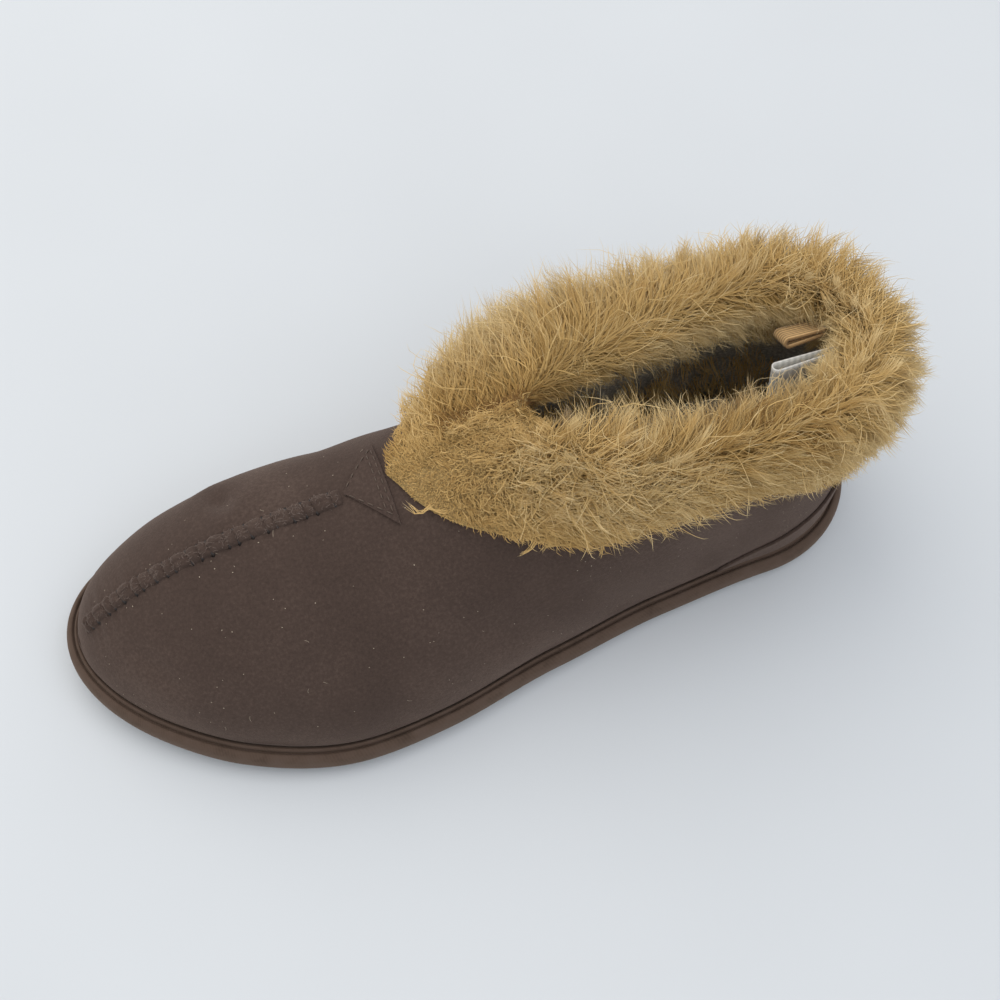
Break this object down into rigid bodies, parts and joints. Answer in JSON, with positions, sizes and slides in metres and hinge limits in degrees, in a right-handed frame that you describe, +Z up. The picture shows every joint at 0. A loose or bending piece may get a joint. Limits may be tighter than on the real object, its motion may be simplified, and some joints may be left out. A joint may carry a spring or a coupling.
{
  "type": "house slipper",
  "caption": "Left low-cut house slipper with a suede-look upper, raised whip-stitched toe seam, tape-wrapped flat sole and a deep faux fur cuff folded over the collar.",
  "frame": {"origin": "on the floor, under the middle of the slipper's bounding box", "axes": "+X from the heel to the toe, +Y to the wearer's left (the outer side of this left slipper), +Z up"},
  "size_m": [0.2962, 0.1092, 0.1173],
  "materials": {
    "outsole": "matte",
    "sole_tape": "ribbed twill tape",
    "plush": "plush",
    "suede": "brushed microsuede",
    "fur": "long pile faux fur",
    "loop_tape": "woven tape",
    "label": "satin"
  },
  "bodies": {
    "root": {"outsole": "outsole", "sole_wrap": "sole_tape", "insole": "plush", "upper": "suede", "toe_seam": "suede", "throat_patch": "suede", "heel_counter": "suede", "fur_cuff": "fur", "heel_loop": "loop_tape", "side_label": "label"}
  },
  "joints": []
}
